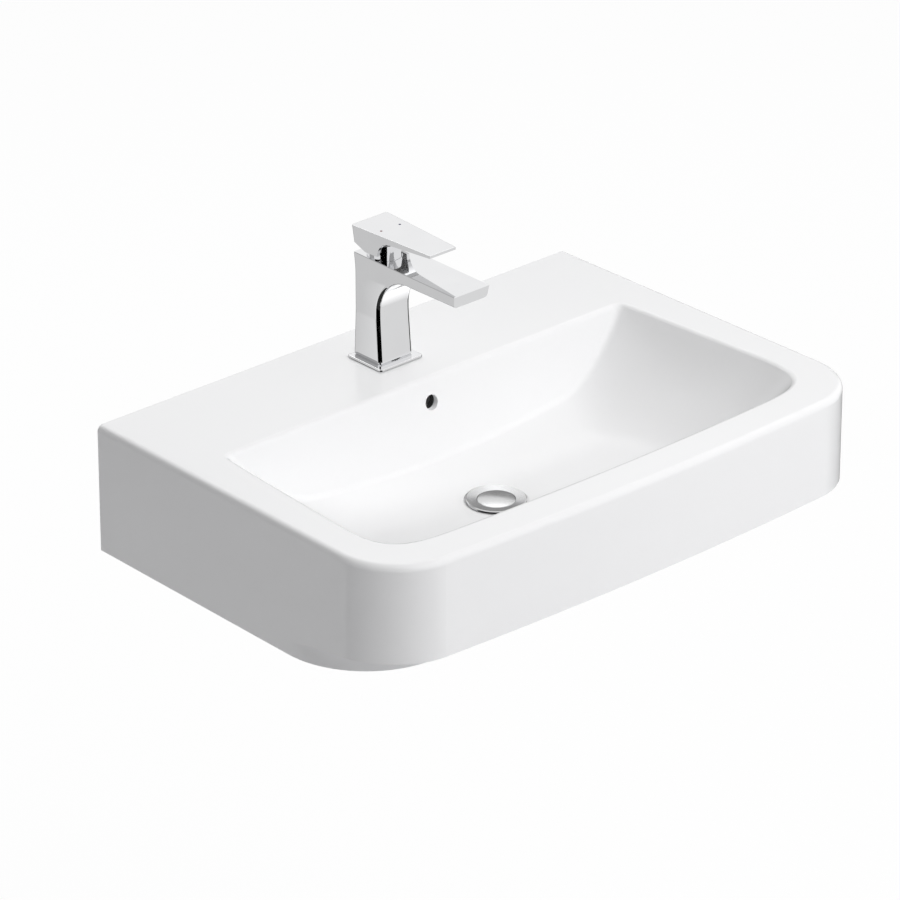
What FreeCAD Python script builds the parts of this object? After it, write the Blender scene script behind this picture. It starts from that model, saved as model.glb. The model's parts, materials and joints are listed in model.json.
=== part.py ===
import FreeCAD, Part
import math
import os

V = FreeCAD.Vector

# Wall-hung basin with a single-lever mixer tap, a click plug waste and an overflow.
# Millimetres. The wall is the plane y = 0, the front is towards -Y and +Z is up.
# Heights are measured from the top of the deck, and the finished pieces are moved up
# so that the origin lies on the wall, midway between the two wall bolts.

# Basin: outline
WALL_HALF_WIDTH = 318.5
SIDE_FLARE = 8.0
DEPTH = 455.0
FRONT_BOW = 12.0
CORNER_R = 74.0
SIDE_HEIGHT = 139.0
APRON_HEIGHT = 105.5
APRON_STRAIGHT = 15.0
APRON_SWEEP_R = 540.0
LOWER_SETBACK = 52.0
LOWER_CORNER_R = 100.0
RIM_OUTER_R = 7.0
RIM_INNER_R = 6.0

# Basin: ceramic walls
SKIN = 12.0
DECK_SKIN = 14.0
BOLT_PAD = 12.0
BOLT_PAD_R = 26.0

# Basin: bowl
BOWL_DEPTH = 101.5
BOWL_BACK = 137.0
FRONT_RIM = 44.0
BACK_SIDE_RIM = 50.9
FRONT_SIDE_RIM = 36.2
BOWL_CORNER_R = 95.0
BOWL_CORNER_POWER = 4
BACK_WALL_TILT = 12.5
SIDE_WALL_SLOPE = 55.0
WALL_BLEND = 72.0
FLOOR_LOW_BEHIND = 4.0
SIDE_FLOOR_R = 1560.0
BACK_FLOOR_R = 185.0
FRONT_FLOOR_R = 1430.0
CREASE_R = 8.0
BOWL_X_COUNT = 48
BOWL_Y_COUNT = 26
SLOPE_STEP = 1.0

# Basin: holes
BOLT_DROP = 85.0
BOLT_SPACING = 280.0
BOLT_HOLE_R = 8.0
TAP_HOLE_R = 17.5
OVERFLOW_R = 8.0
OVERFLOW_DROP = 26.0
CHANNEL_WIDTH = 40.0
CHANNEL_DEEP = 14.0
CHANNEL_SKIN = 8.0
CHANNEL_HEADROOM = 2.0
WASTE_HOLE_R = 23.0
WASTE_BOSS_R = 40.0
SEAT_FIT = 2.0
WASTE_BOSS_HEIGHT = 31.0

# Tap: place and body
TAP_Y = -72.0
GASKET_THICK = 0.8
GASKET_INSET = 1.5
PLATE_WIDTH = 57.0
PLATE_DEPTH = 51.5
PLATE_THICK = 2.2
PLATE_CORNER_R = 2.5
PLATE_EDGE_R = 0.7
TAP_TOP = 118.0
COLUMN_BACK = 21.5
COLUMN_FRONT = 14.0
COLUMN_HALF = 21.8
WAIST_HEIGHT = 52.0
SHOULDER_DROP = 18.0
SHOULDER_R = 120.0
FOOT_FRONT_FLARE = 3.5
FOOT_BACK_FLARE = 1.6
FOOT_SIDE_FLARE = 0.6
FOOT_BEVEL = 1.4
FLARE_R = 160.0
SPOUT_REACH = 130.8
SPOUT_HALF_WIDTH = 23.7
SPOUT_TIP_HEIGHT = 13.2
SPOUT_ROOT_HEIGHT = 15.0
SPOUT_TIP_LEAN = 2.0
ARCH_R = 44.0
BODY_FRONT_R = 4.2
BODY_BACK_R = 2.4
BODY_TOP_BEVEL = 0.6
CHAMBER_DEPTH = 28.0
WATERWAY_R = 3.4
WATERWAY_BEND_R = 4.0
INLET_R = 4.5
INLET_DEPTH = 12.0
INLET_X = 7.0
INLET_Y = 3.0
INLET_WAY_R = 3.0

# Tap: aerator
AERATOR_R = 12.0
AERATOR_HEIGHT = 7.0
AERATOR_BACK = 16.0
AERATOR_PROUD = 0.5
AERATOR_RING = 2.2
AERATOR_SEAL = 1.2
AERATOR_INSERT = 5.0
AERATOR_RECESS = 0.6
AERATOR_HOLE_R = 0.9
AERATOR_HOLE_STEP = 3.1
AERATOR_RING_COUNT = 2

# Tap: fixing under the deck
STUD_R = 4.0
STUD_Y = -10.0
STUD_GRIP = 14.0
STUD_LENGTH = 62.0
CLAMP_R = 25.0
CLAMP_SLOT = 27.0
CLAMP_SLOT_END = 3.0
CLAMP_RUBBER = 3.0
CLAMP_PLATE = 3.0
NUT_FLATS = 13.0
NUT_HEIGHT = 8.0

# Tap: cartridge
CARTRIDGE_R = 12.5
CARTRIDGE_FIT = 0.2
CARTRIDGE_WALL = 1.7
CARTRIDGE_NECK_R = 11.8
CARTRIDGE_SHOULDER_DROP = 8.0
CARTRIDGE_PROUD = 1.5
CARTRIDGE_LIP = 2.2
RUN_FIT = 0.3
SEAL_THICK = 1.5
FIXED_DISC = 4.0
MOVING_DISC = 3.5
MOVING_DISC_R = 8.5
MIXING_R = 5.1
DISC_GAP = 0.05
SLIDER_HEIGHT = 6.0
PORT_R = 2.2
OUTLET_PORT_Y = -6.0
CARRIER_NECK_R = 9.0
CARRIER_PROUD = 3.0
LOCK_NUT_R = 14.5
LOCK_NUT_PROUD = 2.5
LOCK_NUT_FLAT = 2.4
LIFT_AXIS_DROP = 5.0
LIFT_ANGLE = 22.0
STEM_SIDE_FIT = 0.2
STEM_SIZE = 7.0
STEM_PROUD = 18.5
STEM_BALL_R = 2.4
STEM_BALL_DROP = 9.0
STEM_SHANK_R = 1.9
STEM_PIN_R = 1.5
STEM_PIN_LENGTH = 18.0
PIN_FIT = 0.05

# Tap: neck and handle
NECK_R = 18.4
NECK_WALL = 1.7
NECK_HEIGHT = 14.0
NECK_FOOT_HEIGHT = 3.7
NECK_FOOT_INSET = 0.8
NECK_ROUND = 1.0
HANDLE_RISE = 29.0
HANDLE_BACK = 24.0
HANDLE_LENGTH = 111.7
HANDLE_BACK_HALF = 24.0
HANDLE_TIP_HALF = 17.4
HANDLE_TIP_THICK = 3.0
HANDLE_CORNER_R = 2.5
HANDLE_EDGE_R = 0.6
BLADE_ROOT_THICK = 6.5
HOOD_BACK_HEIGHT = 17.2
HOOD_BACK_LEAN = 3.0
HOOD_GAP = 4.6
HOOD_HEEL = 4.0
NOTCH_Y = -31.0
HOOD_CLEAR = 0.6
HOOD_ROOM = 8.0
HOOD_CEILING_RISE = 20.0
SOCKET_RISE = 7.0
SOCKET_WALL = 2.0
SCREW_R = 2.5
SCREW_LENGTH = 5.0
SCREW_RISE = 15.2
SCREW_ACCESS_R = 2.8
DOT_R = 1.4
DOT_DEEP = 0.6
DOT_X = 12.5
DOT_Y = -9.0

# Waste
WASTE_AHEAD = 103.0
FLANGE_R = 31.0
FLANGE_THICK = 2.5
FLANGE_SEAL = 1.0
FLANGE_SEAL_R = 28.0
FLANGE_DISH = 1.2
FLANGE_ROUND = 0.8
PLUG_R = 19.5
PLUG_FIT = 0.4
PLUG_RECESS = 5.5
SEAT_DROP = 0.5
PLUG_EDGE = 2.2
PLUG_ROUND = 0.6
PLUG_SINK = 1.0
PLUG_DOME = 1.5
TUBE_R = 20.75
TUBE_BORE_R = 18.0
TUBE_LENGTH = 88.0
TAIL_R = 20.5
TAIL_LENGTH = 34.0
WINDOW_WIDTH = 11.0
WINDOW_HEIGHT = 14.0
WINDOW_DROP = 8.0
WINDOW_COUNT = 4
HUB_R = 6.5
HUB_HEIGHT = 6.0
HUB_DROP = 38.0
ARM_WIDTH = 3.0
ARM_COUNT = 3
POST_R = 5.0
POST_HEIGHT = 24.0
POST_SCREW_R = 2.5
SLEEVE_WALL = 2.5
SLEEVE_FIT = 0.06
SLEEVE_GAP = 4.0
SKIRT_R = 16.6
SKIRT_WALL = 2.5
SKIRT_HEIGHT = 7.0
RING_HEIGHT = 3.0
RING_LIFT = 1.0
RING_DEEP = 1.2
RING_FIT = 0.05
SPRING_WALL = 1.2
SPRING_FIT = 0.26
LOWER_SEAL = 4.0
LOWER_SEAL_LIP = 3.0
LOWER_SEAL_FIT = 0.5
SLIP_WASHER = 2.0
LOWER_SEAL_R = 34.0
BACK_NUT_FLATS = 60.0
BACK_NUT_HEIGHT = 12.0

# Places worked out from the sizes above
BOWL_FRONT = DEPTH - FRONT_RIM
BOWL_BACK_HALF = WALL_HALF_WIDTH + SIDE_FLARE * BOWL_BACK / DEPTH - BACK_SIDE_RIM
BOWL_FRONT_HALF = WALL_HALF_WIDTH + SIDE_FLARE * BOWL_FRONT / DEPTH - FRONT_SIDE_RIM
WASTE_Y = -BOWL_BACK - WASTE_AHEAD
FLOOR_LOW_Y = WASTE_Y + FLOOR_LOW_BEHIND
FLANGE_TOP = -BOWL_DEPTH + FLANGE_SEAL + FLANGE_THICK
PLATE_BOTTOM = GASKET_THICK
PLATE_TOP = PLATE_BOTTOM + PLATE_THICK
SPOUT_TIP_Y = TAP_Y - SPOUT_REACH
SHOULDER_HEIGHT = TAP_TOP - SHOULDER_DROP
CHAMBER_FLOOR = TAP_TOP - CHAMBER_DEPTH
CARTRIDGE_SHOULDER = TAP_TOP - CARTRIDGE_SHOULDER_DROP
CARTRIDGE_TOP = TAP_TOP + CARTRIDGE_PROUD
CARRIER_TOP = TAP_TOP + CARRIER_PROUD
LOCK_NUT_TOP = TAP_TOP + LOCK_NUT_PROUD
LIFT_AXIS = TAP_TOP - LIFT_AXIS_DROP
STEM_TOP = TAP_TOP + STEM_PROUD
NECK_TOP = TAP_TOP + NECK_HEIGHT
HANDLE_TOP = TAP_TOP + HANDLE_RISE
HOOD_CEILING = TAP_TOP + HOOD_CEILING_RISE
SOCKET_BOTTOM = TAP_TOP + SOCKET_RISE
SCREW_Z = TAP_TOP + SCREW_RISE
AERATOR_Y = SPOUT_TIP_Y + AERATOR_BACK
CHAMBER_R = CARTRIDGE_R + CARTRIDGE_FIT
CARTRIDGE_BORE_R = CARTRIDGE_R - CARTRIDGE_WALL
BOSS_BOTTOM = -BOWL_DEPTH - WASTE_BOSS_HEIGHT
AERATOR_BOTTOM = TAP_TOP - SPOUT_TIP_HEIGHT - AERATOR_PROUD
FIXED_DISC_Z = CHAMBER_FLOOR + SEAL_THICK
MOVING_DISC_Z = FIXED_DISC_Z + FIXED_DISC + DISC_GAP
SLIDER_TOP = MOVING_DISC_Z + MOVING_DISC + SLIDER_HEIGHT
DISC_TRAVEL = STEM_BALL_DROP * math.radians(LIFT_ANGLE)
DISC_Y = TAP_Y + DISC_TRAVEL / 2
HUB_TOP = FLANGE_TOP - HUB_DROP
PLUG_UNDER = FLANGE_TOP - PLUG_SINK - PLUG_EDGE
RING_Z = PLUG_UNDER - SKIRT_HEIGHT + RING_LIFT
CUT_MARGIN = 60.0
BOWL_MARGIN = 16.0
TOUCH = 0.01


def line(start, end):
    return Part.LineSegment(start, end).toShape()


def rounded_path(points, radii):
    """Edges of an open line whose inner corners are rounded by tangent arcs."""
    edges = []
    start = points[0]
    for before, corner, after, radius in zip(points, points[1:], points[2:], radii):
        back = (before - corner).normalize()
        ahead = (after - corner).normalize()
        half = back.getAngle(ahead) / 2
        reach = radius / math.tan(half)
        first = corner + back * reach
        last = corner + ahead * reach
        inward = (back + ahead).normalize()
        middle = corner + inward * (radius / math.sin(half) - radius)
        edges.append(line(start, first))
        edges.append(Part.Arc(first, middle, last).toShape())
        start = last
    edges.append(line(start, points[-1]))
    return edges


def polygon(points):
    return [line(a, b) for a, b in zip(points, points[1:] + points[:1])]


def closed(path, points):
    """A path closed by straight lines through further points back to its start."""
    start = path[0].Vertexes[0].Point
    end = path[-1].Vertexes[-1].Point
    corners = [end] + points + [start]
    return path + [line(a, b) for a, b in zip(corners, corners[1:])]


def prism(edges, direction):
    return Part.Face(Part.Wire(edges)).extrude(direction)


def side_prism(edges, half_width):
    """A YZ outline made into a bar that reaches to both sides of the centre plane."""
    bar = prism(edges, V(2 * half_width, 0, 0))
    bar.translate(V(-half_width, 0, 0))
    return bar


def cylinder(radius, height, base, axis=V(0, 0, 1)):
    return Part.makeCylinder(radius, height, base, axis)


def tube(outer, inner, bottom, top, y):
    base = V(0, y, bottom)
    return cylinder(outer, top - bottom, base).cut(cylinder(inner, top - bottom, base))


def box(width, low, high):
    """A box across the centre plane, from (y, z) low to (y, z) high."""
    corner = V(-width / 2, low[0], low[1])
    return Part.makeBox(width, high[0] - low[0], high[1] - low[1], corner)


def revolved(points, y):
    """A radius and height outline turned about the upright axis at y."""
    face = Part.Face(Part.Wire(polygon([V(r, y, z) for r, z in points])))
    return face.revolve(V(0, y, 0), V(0, 0, 1), 360)


def hexagon(flats, height, base):
    """An upright hexagonal bar."""
    radius = flats / math.sqrt(3)
    turns = [math.radians(60 * i) for i in range(6)]
    corners = [base + V(radius * math.cos(t), radius * math.sin(t), 0) for t in turns]
    return prism(polygon(corners), V(0, 0, height))


def edges_where(shape, test):
    return [edge for edge in shape.Edges if test(edge)]


def is_upright(edge):
    a, b = edge.Vertexes[0].Point, edge.Vertexes[-1].Point
    return len(edge.Vertexes) == 2 and math.hypot(a.x - b.x, a.y - b.y) < 1e-6


def one(shape):
    """The single solid of a boolean result, with its split faces joined."""
    return shape.removeSplitter().Solids[0]


# Basin
def half_width(y):
    return WALL_HALF_WIDTH + SIDE_FLARE * -y / DEPTH


def plan_block(inset, back, front, corner_r, bottom, top):
    """An upright block with the basin's flared sides, bowed front and round corners."""
    corner_y = -front + FRONT_BOW
    left_back = V(-half_width(-back) + inset, -back, bottom)
    left_front = V(-half_width(corner_y) + inset, corner_y, bottom)
    nose = V(0, -front, bottom)
    right_front = V(-left_front.x, corner_y, bottom)
    right_back = V(-left_back.x, -back, bottom)
    bow = Part.Arc(left_front, nose, right_front).toShape()
    outline = [line(left_back, left_front), bow, line(right_front, right_back)]
    block = prism(outline + [line(right_back, left_back)], V(0, 0, top - bottom))
    corners = edges_where(block, lambda e: is_upright(e) and e.Vertexes[0].Y < -(back + front) / 2)
    return block.makeFillet(corner_r, corners)


def apron_undercut(lift):
    """The space below the apron, whose lower edge sweeps down towards the wall."""
    front = -DEPTH - CUT_MARGIN
    edge_z = -APRON_HEIGHT + lift
    bottom = -SIDE_HEIGHT - CUT_MARGIN
    start = V(0, -DEPTH + APRON_STRAIGHT, edge_z)
    centre = start - V(0, 0, APRON_SWEEP_R)
    drop = SIDE_HEIGHT - APRON_HEIGHT + lift
    turn = math.acos(1 - drop / APRON_SWEEP_R)
    middle = centre + V(0, math.sin(turn / 2), math.cos(turn / 2)) * APRON_SWEEP_R
    end = centre + V(0, math.sin(turn), math.cos(turn)) * APRON_SWEEP_R
    sweep = [line(V(0, front, edge_z), start), Part.Arc(start, middle, end).toShape()]
    outline = closed(sweep, [V(0, end.y, bottom), V(0, front, bottom)])
    return side_prism(outline, WALL_HALF_WIDTH + CUT_MARGIN)


def rim_distance(x, y):
    """How far a point lies inside the bowl's rim, whose front corners are rounded."""
    along = (-y - BOWL_BACK) / (BOWL_FRONT - BOWL_BACK)
    side = BOWL_BACK_HALF + (BOWL_FRONT_HALF - BOWL_BACK_HALF) * along - abs(x)
    front = y + BOWL_FRONT - FRONT_BOW * (x / WALL_HALF_WIDTH) ** 2
    gaps = [max(BOWL_CORNER_R - gap, 0) for gap in (side, front)]
    if min(gaps) == 0:
        return min(side, front)
    power = BOWL_CORNER_POWER
    return BOWL_CORNER_R - (gaps[0] ** power + gaps[1] ** power) ** (1 / power)


def bowl_height(x, y):
    """The height of the bowl's inside: a dished floor that runs smoothly into the walls."""
    along = y - FLOOR_LOW_Y
    along_r = BACK_FLOOR_R if along > 0 else FRONT_FLOOR_R
    floor = -BOWL_DEPTH + x ** 2 / (2 * SIDE_FLOOR_R) + along ** 2 / (2 * along_r)
    wall = -rim_distance(x, y) * math.tan(math.radians(SIDE_WALL_SLOPE))
    share = max(1 - abs(wall - floor) / WALL_BLEND, 0)
    return max(wall, floor) + share ** 2 * WALL_BLEND / 4


def bowl_body(skin):
    """The space above the bowl's surface, or above the rear of its ceramic skin."""
    half = BOWL_FRONT_HALF + BOWL_MARGIN
    back = -BOWL_BACK + BOWL_MARGIN
    front = -BOWL_FRONT - BOWL_MARGIN
    grid = []
    for i in range(BOWL_X_COUNT + 1):
        x = half * (2 * i / BOWL_X_COUNT - 1)
        row = []
        for j in range(BOWL_Y_COUNT + 1):
            y = back + (front - back) * j / BOWL_Y_COUNT
            slope_x = (bowl_height(x + SLOPE_STEP, y) - bowl_height(x, y)) / SLOPE_STEP
            slope_y = (bowl_height(x, y + SLOPE_STEP) - bowl_height(x, y)) / SLOPE_STEP
            steep = math.sqrt(1 + slope_x ** 2 + slope_y ** 2)
            row.append(V(x, y, bowl_height(x, y) - skin * steep))
        grid.append(row)
    surface = Part.BSplineSurface()
    surface.interpolate(grid)
    above = surface.toShape().extrude(V(0, 0, 2 * SIDE_HEIGHT))
    return above.cut(behind_back_wall(skin))


def back_wall_y(z, skin=0.0):
    """Where the slanted rear wall of the bowl lies at a height, or its rear face."""
    tilt = math.radians(BACK_WALL_TILT)
    return -BOWL_BACK + z * math.tan(tilt) + skin / math.cos(tilt)


def behind_back_wall(skin):
    top = CUT_MARGIN * 2
    bottom = -BOWL_DEPTH - CUT_MARGIN * 2
    corners = [
        V(0, back_wall_y(bottom, skin), bottom),
        V(0, CUT_MARGIN, bottom),
        V(0, CUT_MARGIN, top),
        V(0, back_wall_y(top, skin), top),
    ]
    return side_prism(polygon(corners), WALL_HALF_WIDTH + CUT_MARGIN)


def channel(skin):
    """The overflow's way down behind the bowl and forward to the waste hole."""
    rear = SKIN + CHANNEL_DEEP + skin
    top = -OVERFLOW_DROP + OVERFLOW_R + CHANNEL_HEADROOM + skin
    low = BOSS_BOTTOM + CHANNEL_SKIN - skin
    high = low + CHANNEL_DEEP + 2 * skin
    corner_y = back_wall_y(-BOWL_DEPTH, rear)
    outline = [
        V(0, back_wall_y(top, SKIN - skin), top),
        V(0, back_wall_y(top, rear), top),
        V(0, corner_y, low),
        V(0, WASTE_Y, low),
        V(0, WASTE_Y, high),
        V(0, back_wall_y(high, SKIN - skin), high),
    ]
    return side_prism(polygon(outline), CHANNEL_WIDTH / 2 + skin)


def underside_hollow():
    top = -DECK_SKIN
    bottom = -SIDE_HEIGHT - CUT_MARGIN
    apron = plan_block(SKIN, SKIN, DEPTH - SKIN, CORNER_R - SKIN, bottom, top)
    front = DEPTH - LOWER_SETBACK - SKIN
    lower = plan_block(SKIN, SKIN, front, LOWER_CORNER_R - SKIN, bottom, top)
    hollow = apron.cut(apron_undercut(SKIN)).fuse(lower).cut(bowl_body(SKIN))
    boss = cylinder(WASTE_BOSS_R, WASTE_BOSS_HEIGHT + SKIN, V(0, WASTE_Y, BOSS_BOTTOM))
    hollow = hollow.cut(boss).cut(channel(CHANNEL_SKIN))
    for x in bolt_places():
        hollow = hollow.cut(cylinder(BOLT_PAD_R, SKIN + BOLT_PAD, V(x, 0, -BOLT_DROP), V(0, -1, 0)))
    return hollow


def bolt_places():
    return [-BOLT_SPACING / 2, BOLT_SPACING / 2]


def basin():
    bottom = -SIDE_HEIGHT
    body = plan_block(0, 0, DEPTH, CORNER_R, bottom, 0).cut(apron_undercut(0))
    lower_top = -APRON_HEIGHT + SKIN
    lower = plan_block(0, 0, DEPTH - LOWER_SETBACK, LOWER_CORNER_R, bottom, lower_top)
    body = one(body.fuse(lower))
    body = one(body.cut(bowl_body(0)))
    crease = edges_where(body, on_crease)
    body = body.makeFillet(CREASE_R, crease)
    inner_rim = edges_where(body, lambda e: on_deck(e) and inside_rim(e))
    body = body.makeFillet(RIM_INNER_R, inner_rim)
    outer_rim = edges_where(body, lambda e: on_deck(e) and on_outside(e))
    body = body.makeFillet(RIM_OUTER_R, outer_rim)
    body = body.cut(underside_hollow())
    body = body.cut(cylinder(TAP_HOLE_R, 3 * DECK_SKIN, V(0, TAP_Y, -2 * DECK_SKIN)))
    waste_hole = cylinder(WASTE_HOLE_R, BOWL_DEPTH, V(0, WASTE_Y, BOSS_BOTTOM - SKIN))
    seat = cylinder(FLANGE_R + SEAT_FIT, BOWL_DEPTH / 2, V(0, WASTE_Y, -BOWL_DEPTH))
    body = body.cut(waste_hole).cut(seat).cut(channel(0))
    overflow_start = V(0, -BOWL_BACK - SKIN, -OVERFLOW_DROP)
    overflow = cylinder(OVERFLOW_R, 2 * SKIN + CHANNEL_DEEP / 2, overflow_start, V(0, 1, 0))
    body = body.cut(overflow)
    for x in bolt_places():
        hole = cylinder(BOLT_HOLE_R, SKIN + 2 * BOLT_PAD, V(x, 0, -BOLT_DROP), V(0, -1, 0))
        body = body.cut(hole)
    return one(body)


def on_crease(edge):
    """Edges where the slanted rear wall meets the floor and the side walls."""
    points = edge.discretize(3)
    on_wall = all(abs(p.y - back_wall_y(p.z)) < TOUCH for p in points)
    return on_wall and min(p.z for p in points) < -TOUCH


def on_deck(edge):
    return all(abs(p.z) < TOUCH for p in edge.discretize(3))


def inside_rim(edge):
    middle = edge.discretize(3)[1]
    inner_half = BOWL_FRONT_HALF + RIM_INNER_R
    return abs(middle.x) < inner_half and -BOWL_FRONT - RIM_INNER_R < middle.y < -RIM_INNER_R


def on_outside(edge):
    middle = edge.discretize(3)[1]
    return not inside_rim(edge) and middle.y < -TOUCH


# Tap: body
def mirrored(path):
    """The mirror image of a path across the centre plane, in the opposite direction."""
    return [edge.mirror(V(0, 0, 0), V(1, 0, 0)) for edge in reversed(path)]


def tap_side_outline():
    """The column and spout seen from the side."""
    waist_front = TAP_Y - COLUMN_FRONT
    waist_back = TAP_Y + COLUMN_BACK
    front = [
        V(0, waist_front - FOOT_FRONT_FLARE, PLATE_TOP),
        V(0, waist_front, WAIST_HEIGHT),
        V(0, waist_front, TAP_TOP - SPOUT_ROOT_HEIGHT),
        V(0, SPOUT_TIP_Y + SPOUT_TIP_LEAN, TAP_TOP - SPOUT_TIP_HEIGHT),
    ]
    back = [
        V(0, waist_back, TAP_TOP),
        V(0, waist_back, WAIST_HEIGHT),
        V(0, waist_back + FOOT_BACK_FLARE, PLATE_TOP),
    ]
    front_path = rounded_path(front, [FLARE_R, ARCH_R])
    tip = V(0, SPOUT_TIP_Y, TAP_TOP)
    top = [line(front[-1], tip), line(tip, back[0])]
    return front_path + top + rounded_path(back, [FLARE_R]) + [line(back[-1], front[0])]


def tap_front_outline(y):
    """The column's waisted sides, which lean out again towards the top of the spout."""
    right = [
        V(COLUMN_HALF + FOOT_SIDE_FLARE, y, PLATE_TOP),
        V(COLUMN_HALF, y, WAIST_HEIGHT),
        V(COLUMN_HALF, y, SHOULDER_HEIGHT),
        V(SPOUT_HALF_WIDTH, y, TAP_TOP),
    ]
    path = rounded_path(right, [FLARE_R, SHOULDER_R])
    left_low = V(-right[0].x, y, PLATE_TOP)
    left_top = V(-right[-1].x, y, TAP_TOP)
    return path + [line(right[-1], left_top)] + mirrored(path) + [line(left_low, right[0])]


def tap_shell():
    """The outside of the tap's body, with its rounded edges and the bevel at its foot."""
    bar = side_prism(tap_side_outline(), PLATE_WIDTH)
    reach = SPOUT_REACH + 2 * CUT_MARGIN
    width = prism(tap_front_outline(TAP_Y + CUT_MARGIN), V(0, -reach, 0))
    shell = one(bar.common(width))
    shell = shell.makeFillet(BODY_FRONT_R, edges_where(shell, on_tap_front))
    shell = shell.makeFillet(BODY_BACK_R, edges_where(shell, on_tap_back))
    shell = shell.makeChamfer(FOOT_BEVEL, edges_where(shell, on_tap_foot))
    return shell.makeChamfer(BODY_TOP_BEVEL, edges_where(shell, on_tap_top))


def runs_along(edge):
    """Edges that stay on one side of the tap."""
    xs = [p.x for p in edge.discretize(3)]
    return min(xs) > COLUMN_HALF / 2 or max(xs) < -COLUMN_HALF / 2


def on_tap_front(edge):
    """The edges down the arch and the front of the column."""
    points = edge.discretize(3)
    ahead = all(p.y < TAP_Y for p in points)
    below = all(p.z < TAP_TOP - SPOUT_TIP_HEIGHT + TOUCH for p in points)
    return runs_along(edge) and ahead and below


def on_tap_back(edge):
    behind = all(p.y > TAP_Y + COLUMN_BACK - TOUCH for p in edge.discretize(3))
    return runs_along(edge) and behind


def on_tap_foot(edge):
    return all(p.z < PLATE_TOP + TOUCH for p in edge.discretize(3))


def on_tap_top(edge):
    return all(p.z > TAP_TOP - TOUCH for p in edge.discretize(3))


def tap_body():
    body = tap_shell()
    above = TAP_TOP + CUT_MARGIN
    body = body.cut(cylinder(CHAMBER_R, above - CHAMBER_FLOOR, V(0, TAP_Y, CHAMBER_FLOOR)))
    body = body.cut(cylinder(LOCK_NUT_R, above, V(0, TAP_Y, CARTRIDGE_SHOULDER)))
    for x in (-INLET_X, INLET_X):
        place = V(x, TAP_Y + INLET_Y, PLATE_TOP)
        body = body.cut(cylinder(INLET_R, INLET_DEPTH, place))
        body = body.cut(cylinder(INLET_WAY_R, CHAMBER_FLOOR - PLATE_TOP, place))
    body = body.cut(cylinder(STUD_R, STUD_GRIP, V(0, TAP_Y + STUD_Y, PLATE_TOP)))
    below = V(0, AERATOR_Y, AERATOR_BOTTOM - AERATOR_HEIGHT)
    body = body.cut(cylinder(AERATOR_R, 2 * AERATOR_HEIGHT + AERATOR_SEAL, below))
    root = V(0, TAP_Y - CHAMBER_R + WATERWAY_R, CHAMBER_FLOOR + CHAMBER_R)
    bend = V(0, TAP_Y - SPOUT_REACH / 2, TAP_TOP - SPOUT_ROOT_HEIGHT / 2)
    rise = bend - root
    body = body.cut(cylinder(WATERWAY_R, rise.Length, root, rise))
    body = body.cut(cylinder(WATERWAY_R, bend.y - AERATOR_Y, bend, V(0, -1, 0)))
    return one(body.cut(Part.makeSphere(WATERWAY_BEND_R, bend)))


def plate_block(inset, bottom, height):
    width = PLATE_WIDTH - 2 * inset
    depth = PLATE_DEPTH - 2 * inset
    corner = V(-width / 2, TAP_Y - depth / 2, bottom)
    block = Part.makeBox(width, depth, height, corner)
    block = block.makeFillet(PLATE_CORNER_R, edges_where(block, is_upright))
    return block.cut(cylinder(TAP_HOLE_R, height, V(0, TAP_Y, bottom)))


def base_plate():
    plate = plate_block(0, PLATE_BOTTOM, PLATE_THICK)
    return one(plate.makeFillet(PLATE_EDGE_R, edges_where(plate, is_plate_rim)))


def is_plate_rim(edge):
    points = edge.discretize(3)
    outside = all(math.hypot(p.x, p.y - TAP_Y) > TAP_HOLE_R + TOUCH for p in points)
    return outside and all(abs(p.z - PLATE_TOP) < TOUCH for p in points)


# Tap: aerator
def aerator_insert():
    """The nozzle plate, with rings of small holes."""
    inner = AERATOR_R - AERATOR_RING
    bottom = AERATOR_BOTTOM + AERATOR_RECESS
    plate = cylinder(inner, AERATOR_INSERT, V(0, AERATOR_Y, bottom))
    holes = [cylinder(AERATOR_HOLE_R, AERATOR_INSERT, V(0, AERATOR_Y, bottom))]
    for ring in range(1, AERATOR_RING_COUNT + 1):
        for step in range(6 * ring):
            turn = math.radians(60 / ring * step)
            out = V(math.cos(turn), math.sin(turn), 0) * (AERATOR_HOLE_STEP * ring)
            holes.append(cylinder(AERATOR_HOLE_R, AERATOR_INSERT, V(0, AERATOR_Y, bottom) + out))
    return plate.cut(Part.makeCompound(holes)).Solids[0]


# Tap: fixing under the deck
def clamp(thick, top):
    """A horseshoe that leaves the rear of the tap hole open for the two hoses."""
    bottom = top - thick
    disc = cylinder(CLAMP_R, thick, V(0, TAP_Y, bottom))
    slot = box(CLAMP_SLOT, (TAP_Y - CLAMP_SLOT_END, bottom), (TAP_Y + 2 * CLAMP_R, top))
    stud_hole = cylinder(STUD_R, thick, V(0, TAP_Y + STUD_Y, bottom))
    return one(disc.cut(slot).cut(stud_hole))


def fixing_nut():
    base = V(0, TAP_Y + STUD_Y, -DECK_SKIN - CLAMP_RUBBER - CLAMP_PLATE - NUT_HEIGHT)
    return hexagon(NUT_FLATS, NUT_HEIGHT, base).cut(cylinder(STUD_R, NUT_HEIGHT, base))


def fixing_stud():
    top = PLATE_TOP + STUD_GRIP
    return cylinder(STUD_R, STUD_LENGTH, V(0, TAP_Y + STUD_Y, top - STUD_LENGTH))


# Tap: cartridge
def ported_disc(radius, bottom, thick):
    """A disc with the two inlet ports and the outlet port."""
    disc = cylinder(radius, thick, V(0, TAP_Y, bottom))
    for x, y in [(-INLET_X, INLET_Y), (INLET_X, INLET_Y), (0, OUTLET_PORT_Y)]:
        disc = disc.cut(cylinder(PORT_R, thick, V(x, TAP_Y + y, bottom)))
    return disc.Solids[0]


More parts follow.
